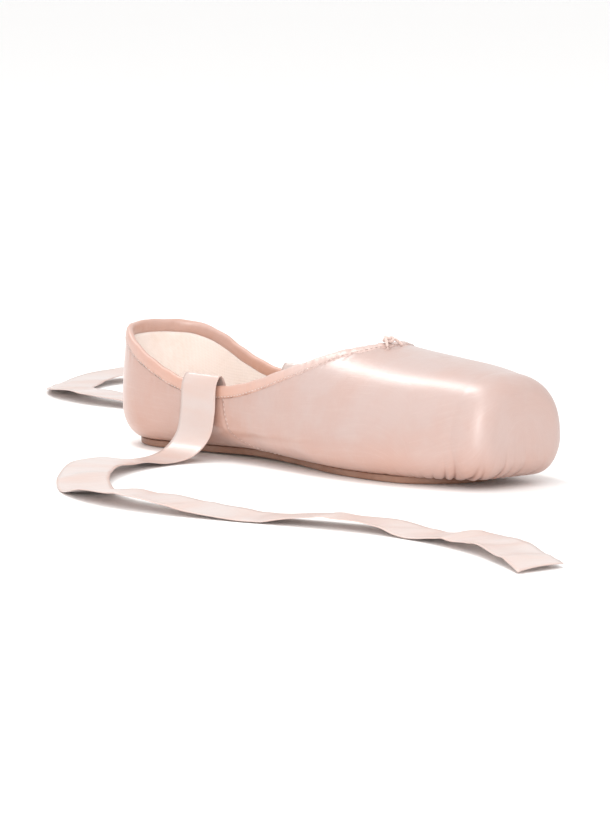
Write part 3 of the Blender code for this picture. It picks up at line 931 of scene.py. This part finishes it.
def gridNormals(grid, cap):
    along = np.gradient(grid, axis=0)
    up = np.gradient(grid, axis=1)
    normal = np.cross(up, along)
    size = np.linalg.norm(normal, axis=2, keepdims=True)
    normal = np.where(size > 1e-13, normal / np.maximum(size, 1e-13), [[[1.0, 0, 0]]])
    normal[-cap:] = [1.0, 0, 0]
    normal[:, :, 1] = np.where(grid[:, :, 1] < 1e-6, 0, normal[:, :, 1])
    return unit(normal)


def pleatDepth(points, away):
    # how far the pleats press the skin in, in metres, and how dark the painted shade in their creases is
    x, y = points[:, 0] - upperLook["noseCenter"], points[:, 1]
    place = np.arctan2(y, np.maximum(x, 0.0005)) * upperLook["noseRadius"] * 1000
    ahead = fade(points[:, 0], *upperLook["pleatsFrom"])
    run = away * 1000
    shift, dark = np.zeros(len(points)), np.zeros(len(points))
    for at, depth, reach, lean in upperLook["pleats"]:
        off = place - at - lean * (run / 20) ** 2
        wide = upperLook["pleatWidth"] + upperLook["pleatGrowth"] * np.maximum(run, 0)
        strong = ahead * (1 - fade(run, 0.25 * reach, reach)) * fade(run, -3.0, -0.5)
        folds = upperLook["pleatFold"] * bell(np.abs(off) - 2.3 * wide, 1.4 * wide)
        shift += strong * depth * (folds - upperLook["pleatTrough"] * bell(off, wide)) / 1000
        dark += strong * depth * bell(off, 0.8 * wide)
    return shift, dark


def troughDepth(points):
    shift = np.zeros(len(points))
    for side, x1, z1, x2, z2, wide, depth in upperLook["troughs"]:
        ends = []
        for x, z in ((x1 / 1000, z1 / 1000), (x2 / 1000, z2 / 1000)):
            ends.append(np.array([x, side * float(skinPoint(x, z)), z]))
        line = ends[1] - ends[0]
        share = np.clip((points - ends[0]) @ line / (line @ line), 0, 1)
        off = np.linalg.norm(points - ends[0] - share[:, None] * line, axis=1) * 1000
        ending = np.sqrt(np.clip(4 * share * (1 - share), 0, 1))
        ripple = bell(off, wide) - 0.45 * bell(off - 2 * wide, wide)
        shift -= depth / 1000 * ripple * (0.25 + 0.75 * ending)
    return shift


def seamOffset(points):
    # signed distance from the side seam, forward positive
    at = smooth(seamRun["height"], seamRun["at"], points[:, 2])
    ahead = smooth(seamRun["height"], seamRun["at"], points[:, 2] + slopeStep)
    slope = (ahead - at) / slopeStep
    return (points[:, 0] - at) / np.sqrt(1 + slope**2)


def finePuckers(points, away, below):
    # small gathers along the sole's edge and under the casing
    run = points[:, 0] * 1000
    side = np.where(points[:, 1] < 0, 0.0, 2.1)
    heel = np.arctan2(points[:, 1], heelCenter - points[:, 0]) * 24
    run = np.where(points[:, 0] < heelCenter, heel, run)
    wave = np.sin(run * 1.9 + 1.3 * np.sin(run * 0.31 + side)) * np.sin(run * 0.47 + 2 * side)
    strong = np.clip(np.abs(points[:, 1]) * 1000 / 4, 0, 1)
    low = (1 - fade(away, 0.0005, 0.0065)) * fade(away, -0.003, 0)
    wave2 = np.sin(run * 1.25 + 1.7 * np.sin(run * 0.23 + side)) * (0.6 + 0.4 * np.sin(run * 0.6 + side))
    high = 1 - fade(below, 0.0, 0.0075)
    return strong * (upperLook["puckerLow"] * low * wave + upperLook["puckerHigh"] * high * wave2)


def makeUpper():
    half = skinGrid(**shellCuts)
    normals = gridNormals(half, shellCuts["cap"])
    rows, columns = half.shape[:2]
    steps = np.linalg.norm(np.diff(half, axis=1), axis=2)
    girth = np.concatenate([np.zeros((rows, 1)), np.cumsum(steps, 1)], 1)
    length = lengthsAlong(half[:, columns // 2])
    mouth = shellCuts["fan"] + shellCuts["mouth"]
    below = np.full((rows, columns), 1.0)
    below[: mouth + 1] = (girth[:, -1:] - girth)[: mouth + 1]
    below = below.ravel()
    every, faces, edgeNear, creaseShadesAndSeams, across = [], [], [], [], []
    for side in (1, -1):
        points = (half * [1, side, 1]).reshape(-1, 3)
        out = (normals * [1, side, 1]).reshape(-1, 3)
        away = fromSole(points)
        press, dark = pleatDepth(points, away)
        seam = seamOffset(points) * 1000
        onSide = (points[:, 2] > seamRun["above"]) & (points[:, 0] < seamRun["to"])
        onSide &= points[:, 0] > seamRun["from"]
        groove = onSide * (0.45 * bell(seam - 1.1, 0.8) - bell(seam, 0.55))
        heelSide = np.where(points[:, 0] < heelCenter, np.abs(points[:, 1]) * 1000, 99)
        back = 0.5 * bell(heelSide - 1.2, 0.8) - bell(heelSide, 0.6)
        shift = press + troughDepth(points) * fade(below, 0, 0.006) + finePuckers(points, away, below)
        shift = shift + upperLook["seamGroove"] * (groove + back)
        points = points + out * shift[:, None]
        points[:, 1] = np.where(half[:, :, 1].ravel() < 1e-6, 0, points[:, 1])
        faces += gridFaces(rows, columns, len(every) * rows * columns, flip=side < 0)
        every.append(points)
        edgeNear.append(away)
        # painted shade in the pleats, and a darker line along the side seam
        creaseShadesAndSeams.append(dark + 0.35 * bell(seam, 0.4) * onSide)
        across.append(girth.ravel() * side)
    mesh = toMesh("upperShell", np.concatenate(every), faces)
    keep(mesh, "edgeNear", np.concatenate(edgeNear))
    keep(mesh, "creaseShadeAndSeam", np.concatenate(creaseShadesAndSeams))
    keepUv(mesh, np.concatenate(across), np.tile(np.repeat(length, columns), 2))
    closeSeams(mesh)
    shell = place("upperShell", mesh, satinFinish("Shoe satin", satinCloth, (0.025, 0.001)))
    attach(shell, "root")
    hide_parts("upper")
    print("upper has", len(mesh.polygons), "faces")


def makeLining():
    # the inside of the wall, joined to the shell's rim and to its edge under the sole
    half = skinGrid(**liningCuts)
    normals = gridNormals(half, liningCuts["cap"])
    wall = wallAt(half[:, :, 0])[..., None]
    inner = half - normals * wall
    inner[:, :, 1] = np.maximum(inner[:, :, 1], 0)
    mouth = liningCuts["fan"] + liningCuts["mouth"]
    top = inner[:, -1].copy()
    top[: mouth + 1] = half[: mouth + 1, -1]
    bottom = inner[:, 0].copy()
    opened = half[:, 0, 1] > 1e-6
    opened[: liningCuts["fan"]] = True
    bottom[opened] = half[opened, 0]
    sheet = np.concatenate([bottom[:, None], inner, top[:, None]], 1)
    rows, columns = sheet.shape[:2]
    points = np.concatenate([(sheet * [1, side, 1]).reshape(-1, 3) for side in (1, -1)])
    faces = gridFaces(rows, columns, flip=True) + gridFaces(rows, columns, rows * columns)
    mesh = toMesh("upperLining", points, faces)
    keepUv(mesh, points[:, 2] + np.abs(points[:, 1]), points[:, 0])
    closeSeams(mesh)
    lining = place("upperLining", mesh, liningFinish())
    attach(lining, "root")
    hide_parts("upper")


outsoleLook = {"ends": 60, "body": 150, "inner": 22, "roundTop": 0.0004, "roundBottom": 0.0011}
insoleLook = {
    "length": 0.190,
    "nose": 0.022,
    "thickness": 0.0016,
    "roundTop": 0.0004,
    "roundBottom": 0.0004,
    "ends": 24,
    "body": 90,
    "inner": 26,
}
# How far in from the edge the flat top and bottom begin, and the widest edge distance kept.
soleRim = {"flatFrom": 0.003, "farthest": 0.02}


def soleProfile(thickness, look):
    # insets from the outline and heights below the top, from the top's flat round to the bottom's
    profile = [(soleRim["flatFrom"], 0.0)]
    for a in (0, 0.5, 1.0, math.pi / 2):
        profile.append((look["roundTop"] * (1 - math.sin(a)), look["roundTop"] * (1 - math.cos(a))))
    side = thickness - look["roundBottom"]
    for a in (0, 0.4, 0.8, 1.2, math.pi / 2):
        profile.append((look["roundBottom"] * (1 - math.cos(a)), side + look["roundBottom"] * math.sin(a)))
    return profile + [(soleRim["flatFrom"], thickness)]


def flatPiece(name, places, halves, lift, profile, inner):
    # a closed flat piece: rings round a mirrored outline, with rungs across its top and bottom
    run = unit(np.stack([np.gradient(places), np.gradient(halves)], -1))
    normal = np.stack([-run[:, 1], run[:, 0]], -1)
    normal[0], normal[-1] = (-1, 0), (1, 0)
    base = lift(places)
    sideLine, near = [], []
    for inset, drop in profile:
        x = places - normal[:, 0] * inset
        y = np.maximum(halves - normal[:, 1] * inset, 0)
        sideLine.append(np.stack([x, y, base - drop], -1))
        near.append(np.full(len(places), inset))
    right = np.stack(sideLine, 1)
    left = right[:, ::-1] * [1, -1, 1]
    rung = np.linspace(0, 1, inner + 1)[1:-1]
    over, back = rung[None, :, None], (1 - rung)[None, :, None]
    bottom = right[:, -1:] * back + left[:, :1] * over
    top = left[:, -1:] * back + right[:, :1] * over
    ring = np.concatenate([right, bottom, left, top], 1)
    nearSide = np.stack(near, 1)
    reach = np.abs(right[:, -1:, 1]) * (1 - np.abs(1 - 2 * rung))[None, :]
    middle = soleRim["flatFrom"] + np.minimum(reach, soleRim["farthest"])
    edge = np.concatenate([nearSide, middle, nearSide[:, ::-1], middle], 1)
    mesh = toMesh(name, ring, gridFaces(*ring.shape[:2], wrapped=True))
    keep(mesh, "edgeNear", edge)
    closeSeams(mesh, 0.000004, outward=True)
    return mesh


def makeOutsole():
    look = outsoleLook
    places = solePlaces(*soleEnds, look["ends"], look["body"])
    halves = soleHalf(places, *soleEnds, shoe["soleEdge"])
    profile = soleProfile(shoe["soleThickness"], look)

    def lift(x):
        return sectionAt(np.maximum(x, heelCenter))["base"] - shoe["gap"]

    mesh = flatPiece("outsole", places, halves, lift, profile, look["inner"])
    sole = place("outsoleLeather", mesh, soleFinish())
    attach(sole, "root")
    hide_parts("outsole")


def makeInsole():
    look = insoleLook
    back = heelEnd + shoe["heelTuck"] + shoe["gap"]
    ends = (back, back + look["length"], look["nose"])
    places = solePlaces(*ends, look["ends"], look["body"])
    halves = soleHalf(places, *ends, -shoe["gap"])
    profile = soleProfile(look["thickness"], look)

    def lift(x):
        base = sectionAt(np.maximum(x, heelCenter))["base"]
        return base + wallAt(x) + shoe["gap"] + look["thickness"]

    mesh = flatPiece("insole", places, halves, lift, profile, look["inner"])
    board = place("insoleSock", mesh, sockFinish())
    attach(board, "root")
    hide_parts("insole")


# The mouth's ribs are counted as the solids' are, so that the casing runs where its solid does.
casing = {
    "stations": 460,
    "sides": 22,
    "fanRibs": 8,
    "mouthRibs": 22,
    "crowding": 1.7,
    "overlap": 0.00035,
    "squareWide": 0.7,
    "squareDeep": 0.8,
    "stitchesDown": 0.36,
    "stitchesOut": 0.47,
    "fromSole": 0.05,
    "gatherShade": 0.84,
    "roundness": 0.0022,
}
# The casing's deep, quarter and crease colours carry painted shade as the shoe satin's do.
casingCloth = {
    "light": (0.555, 0.405, 0.365),
    "deep": (0.570, 0.300, 0.210),
    "quarter": (0.470, 0.205, 0.125),
    "shine": (0.730, 0.570, 0.520),
    "dust": (0.560, 0.400, 0.330),
    "creaseShadeAndSeam": (0.400, 0.180, 0.110),
    "nearSole": (0.640, 0.340, 0.220),
    "roughness": 0.40,
}


def casingFrames():
    # middle, inward direction and normal along the whole mouth, from the back seam and round
    fan, mouth = casing["fanRibs"], casing["mouthRibs"]
    reach = throat - heelCenter
    body = throat - reach * (1 - np.arange(mouth) / mouth) ** casing["crowding"]
    places = np.concatenate([np.full(fan, heelCenter), body, [throat]])
    turns = np.concatenate([np.arange(fan) / fan * math.pi / 2, np.full(mouth + 1, math.pi / 2)])
    ribs = Ribs(places, turns)
    edge, lower = ribs.high(1), ribs.high(0.97)
    lower[-1] = Ribs([throat + 0.001], [math.pi / 2]).high(1)[0]
    other = [1, -1, 1]
    mouthRim = np.concatenate([edge, edge[-2:0:-1] * other])
    under = np.concatenate([lower, lower[-2:0:-1] * other])
    along = unit(np.roll(mouthRim, -1, 0) - np.roll(mouthRim, 1, 0))
    normal = unit(np.cross(mouthRim - under, along))
    inward = np.cross(along, normal)
    seat = mouthRim - normal * shoe["quarterWall"] / 2
    middle = seat + inward * (shoe["gap"] + shoe["casingWidth"] / 2)
    return middle, inward, normal


def roundTheMouth(values, spots, places):
    # smooth closed interpolation, a component at a time
    total = spots[-1]
    ahead = np.concatenate([spots[-4:-1] - total, spots, spots[1:4] + total])
    line = np.concatenate([values[-3:], values, values[:1], values[1:4]])
    return np.stack([smooth(ahead, line[:, k], places) for k in range(3)], -1)


def makeCasing():
    middle, inward, normal = casingFrames()
    spots = lengthsAlong(np.concatenate([middle, middle[:1]]))
    places = np.linspace(0, spots[-1], casing["stations"], endpoint=False)
    mid = roundTheMouth(middle, spots, places)
    into, out = (unit(roundTheMouth(way, spots, places)) for way in (inward, normal))
    run = places * 1000
    angle = (np.arange(casing["sides"]) + 0.5) / casing["sides"] * math.tau
    wide = np.sign(np.cos(angle)) * np.abs(np.cos(angle)) ** casing["squareWide"]
    deep = np.sign(np.sin(angle)) * np.abs(np.sin(angle)) ** casing["squareDeep"]
    front = fade(mid[:, 0], -0.02, 0.035)
    gather = (0.08 + 0.12 * front) * np.sin(run * 2.1 + 1.5 * np.sin(run * 0.37))
    gather = gather + (0.07 + 0.09 * front) * np.sin(run * 1.17 + 2.0 * np.sin(run * 0.19) + 1)
    swell = 1.03 + 0.05 * np.sin(run * 0.53 + 0.6)
    mid = mid - into * casing["overlap"]
    shiftWide = wide[None, :] * (shoe["casingWidth"] / 2 * swell)[:, None]
    puff = 1 + 0.5 * gather[:, None] * (0.4 + 0.6 * np.abs(deep))[None, :]
    shiftDeep = deep[None, :] * shoe["casingThickness"] / 2 * puff
    points = mid[:, None] + into[:, None] * shiftWide[..., None] + out[:, None] * shiftDeep[..., None]
    points = np.concatenate([points, points[:1]])
    shape = points.shape[:2]
    mesh = toMesh("casing", points, gridFaces(*shape, wrapped=True, flip=True))
    keep(mesh, "edgeNear", np.full(shape, casing["fromSole"]))
    # painted shade in the hollows of the gathers
    dark = casing["gatherShade"] * np.clip(-gather, 0, 1)
    keep(mesh, "creaseShadeAndSeam", np.broadcast_to(np.append(dark, dark[0])[:, None], shape))
    around = np.broadcast_to((angle * casing["roundness"])[None, :], shape)
    along = np.broadcast_to(np.append(places, spots[-1])[:, None], shape)
    keepUv(mesh, around, along)
    closeSeams(mesh, outward=True)
    tube = place("collarCasing", mesh, satinFinish("Casing satin", casingCloth, (0.044, 0.028)))
    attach(tube, "root")
    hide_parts("collar_casing")
    down = into * shoe["casingWidth"] * casing["stitchesDown"]
    lowEdge = mid - down + out * shoe["casingThickness"] * casing["stitchesOut"]
    return lowEdge, middle, normal


knot = {
    "width": 0.0050,
    "aside": -0.0035,
    # shares of the knot's width: how high it sits, the size of its loops, where a tail leaves it
    "seat": 0.32,
    "loop": 0.145,
    "leaves": 0.30,
    "string": 0.00068,
    "tail": 0.0055,
    "tailDrop": 0.0022,
    "tailRise": 0.0004,
    "strands": 11,
    "strand": 0.00011,
    "fray": 0.0026,
    "fraySpread": 0.36,
}


def sweep(path, radius, sides=8):
    # a tube along a path, with round closed ends
    path = np.asarray(path, float)
    run = unit(np.gradient(path, axis=0))
    guide = np.array([0.13, 0.21, 0.97])
    across = unit(np.cross(run, guide))
    up = np.cross(across, run)
    angle = np.arange(sides) / sides * math.tau
    radii = np.broadcast_to(radius, len(path))
    ring = across[:, None] * np.cos(angle)[None, :, None] + up[:, None] * np.sin(angle)[None, :, None]
    points = path[:, None] + ring * radii[:, None, None]
    ends = [np.broadcast_to(path[k], (1, sides, 3)) for k in (0, -1)]
    return np.concatenate([ends[0], points, ends[1]])


def makeKnot(middle, normal):
    # an overhand knot at the throat, with two short tails that end in loose strands
    front = casing["fanRibs"] + casing["mouthRibs"]
    up = normal[front]
    top = middle[front] + up * (shoe["casingThickness"] / 2 + shoe["gap"])
    seat = top + np.array([0, knot["aside"], 0]) + up * knot["width"] * knot["seat"]
    aside = np.array([0, 1.0, 0])
    ahead = np.cross(aside, up)
    ahead *= np.sign(ahead[0])
    t = np.linspace(0, math.tau, 90)
    turns = [np.sin(t) + 2 * np.sin(2 * t), np.cos(t) - 2 * np.cos(2 * t), -1.1 * np.sin(3 * t)]
    loop = np.stack(turns, -1) * (knot["width"] * knot["loop"])
    trefoil = seat + loop[:, :1] * ahead + loop[:, 1:2] * aside + loop[:, 2:] * up * 0.8
    tubes = [sweep(trefoil, knot["string"])]
    rng = np.random.default_rng(5)
    share = np.linspace(0, 1, 16)[:, None]
    s = np.linspace(0, 1, 6)[:, None]
    for side in (-1, 1):
        start = seat + aside * side * knot["width"] * knot["leaves"]
        drop = -up * knot["tailDrop"] * share**2 + up * knot["tailRise"] * np.sin(share * math.pi)
        run = aside * side * 0.50 * share + ahead * 0.8 * share**1.2
        tail = start + run * knot["tail"] + drop
        tubes.append(sweep(tail, knot["string"] * (1 - 0.15 * share[:, 0])))
        direction = unit(tail[-1] - tail[-2])
        for strand in range(knot["strands"]):
            spread = rng.normal(0, knot["fraySpread"], 3)
            reach = knot["fray"] * rng.uniform(0.6, 1.1)
            hair = tail[-1] - direction * 0.0004 + (direction + spread * s * 0.9) * s * reach
            tubes.append(sweep(hair, knot["strand"], 5))
    points, faces = [], []
    for tube in tubes:
        faces += gridFaces(*tube.shape[:2], len(points), wrapped=True)
        points += tube.reshape(-1, 3).tolist()
    mesh = toMesh("knot", points, faces)
    closeSeams(mesh, 0.0000005, outward=True)
    piece = place("drawstringKnot", mesh, threadFinish("Drawstring cotton", cord["color"], 900))
    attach(piece, "root")
    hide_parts("drawstring_knot", "string_tail_near", "string_tail_far")


stitch = {
    "Pitch": 0.0021,
    "Stitch length": 0.0015,
    "Thread": 0.00019,
    "smallest": 0.85,
    "largest": 1.1,
    "seed": 4,
}


def stitchTree(material):
    # nodes that set a bead of thread at each stitch along a path
    tree = bpy.data.node_groups.new("Stitches", "GeometryNodeTree")
    tree.interface.new_socket("Paths", in_out="INPUT", socket_type="NodeSocketGeometry")
    for name in ("Pitch", "Stitch length", "Thread"):
        socket = tree.interface.new_socket(name, in_out="INPUT", socket_type="NodeSocketFloat")
        socket.default_value = stitch[name]
    tree.interface.new_socket("Stitches", in_out="OUTPUT", socket_type="NodeSocketGeometry")

    def add(kind, values=None, output=0, **settings):
        return addNode(tree, kind, settings, values).outputs[output]

    given = addNode(tree, "NodeGroupInput").outputs
    curve = {"Curve": given["Paths"], "Length": given["Pitch"]}
    points = add("GeometryNodeResampleCurve", curve, mode="LENGTH")
    bead = add("GeometryNodeMeshUVSphere", {"Segments": 6, "Rings": 5, "Radius": 1.0})
    halfLong = add("ShaderNodeMath", {0: given["Stitch length"], 1: 0.5}, operation="MULTIPLY")
    size = add("ShaderNodeCombineXYZ", {"X": halfLong, "Y": given["Thread"], "Z": given["Thread"]})
    turn = {"Vector": add("GeometryNodeInputTangent")}
    turned = add("FunctionNodeAlignRotationToVector", turn, axis="X")
    limits = {"Min": stitch["smallest"], "Max": stitch["largest"], "Seed": stitch["seed"]}
    vary = add("FunctionNodeRandomValue", limits, 1, data_type="FLOAT")
    grown = add("ShaderNodeVectorMath", {0: size, "Scale": vary}, operation="SCALE")
    spread = {"Points": points, "Instance": bead, "Rotation": turned, "Scale": grown}
    real = add("GeometryNodeRealizeInstances", {0: add("GeometryNodeInstanceOnPoints", spread)})
    dressed = add("GeometryNodeSetMaterial", {"Geometry": real, "Material": material})
    addNode(tree, "NodeGroupOutput", None, {"Stitches": dressed})
    return tree


def makeStitches(name, paths, tree, node):
    curve = bpy.data.curves.new(name, "CURVE")
    curve.dimensions = "3D"
    for path in paths:
        line = curve.splines.new("POLY")
        line.points.add(len(path) - 1)
        for point, spot in zip(line.points, path):
            point.co = (*spot, 1)
    run = place(name, curve)
    run.modifiers.new("Stitches", "NODES").node_group = tree
    made = bake(run)
    made.data.shade_smooth()
    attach(made, "root")
    if node:
        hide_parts(node)
    print(name, "has", len(made.data.polygons), "faces")


# Where the rows of stitches run: how far the thread stands proud, how far from its seam a row
# lies, the side rows' heights, and the box of stitches inside the edges of each ribbon.
rowsAt = {
    "proud": 0.00012,
    "backProud": 0.0001,
    "fromSeam": 0.0011,
    "sideHeights": (0.0042, 0.0262),
    "boxInset": 0.0016,
    "boxBottom": 0.0012,
    "boxTop": 0.0045,
}


def onSkin(x, z, side, proud):
    y = skinPoint(x, z)
    lean = (y - skinPoint(x, z + slopeStep)) / slopeStep
    out = unit(np.stack([0 * y, side * np.ones_like(y), lean], -1))
    return np.stack([x, side * y, z], -1) + out * proud


def seamPaths():
    z = np.linspace(*rowsAt["sideHeights"], 60)
    x = smooth(seamRun["height"], seamRun["at"], z) + rowsAt["fromSeam"]
    return [onSkin(x, z, side, rowsAt["proud"]) for side in (-1, 1)]


def anchorPaths():
    # a box of stitches where each ribbon is sewn down inside the quarter
    x = heelCenter + sewnEnd[0][0]
    out = sewnEnd[0][1] - ribbon["thickness"] / 2
    reach = ribbon["width"] / 2 - rowsAt["boxInset"]
    low, high = sewnEnd[0][2] + rowsAt["boxBottom"], sewnEnd[2][2] - rowsAt["boxTop"]
    corners = [(x - reach, low), (x + reach, low), (x + reach, high), (x - reach, high), (x - reach, low)]
    return [[(a, side * out, z) for a, z in corners] for side in (-1, 1)]


def backSeamPath(side):
    rib = Ribs([heelCenter], [0.0])
    line = [rib.low(share)[0] for share in np.linspace(0.25, 1, 14)]
    line += [rib.high(share)[0] for share in np.linspace(0.04, 0.97, 34)]
    return np.array(line) + [rowsAt["backProud"], side * rowsAt["fromSeam"], 0]


print("camera and studio")
makeCamera()
makeStudio()
print("ribbons")
satinRibbon = ribbonFinish()
makeRibbon("ribbonNear", ribbon["near"], -1, "ribbon_near", satinRibbon)
makeRibbon("ribbonFar", ribbon["far"], 1, "ribbon_far", satinRibbon)
print("upper")
makeUpper()
makeLining()
print("soles")
makeOutsole()
makeInsole()
print("casing, knot and stitches")
lowEdge, mouthMiddle, mouthNormal = makeCasing()
makeKnot(mouthMiddle, mouthNormal)
thread = threadFinish("Stitch thread", cord["thread"], 1500)
tree = stitchTree(thread)
loop = np.concatenate([lowEdge, lowEdge[:1]])
makeStitches("casingStitches", [loop], tree, "collar_casing")
seamLines = seamPaths() + [backSeamPath(1), backSeamPath(-1)]
makeStitches("seamStitches", seamLines, tree, "upper")
makeStitches("anchorStitches", anchorPaths(), tree, None)
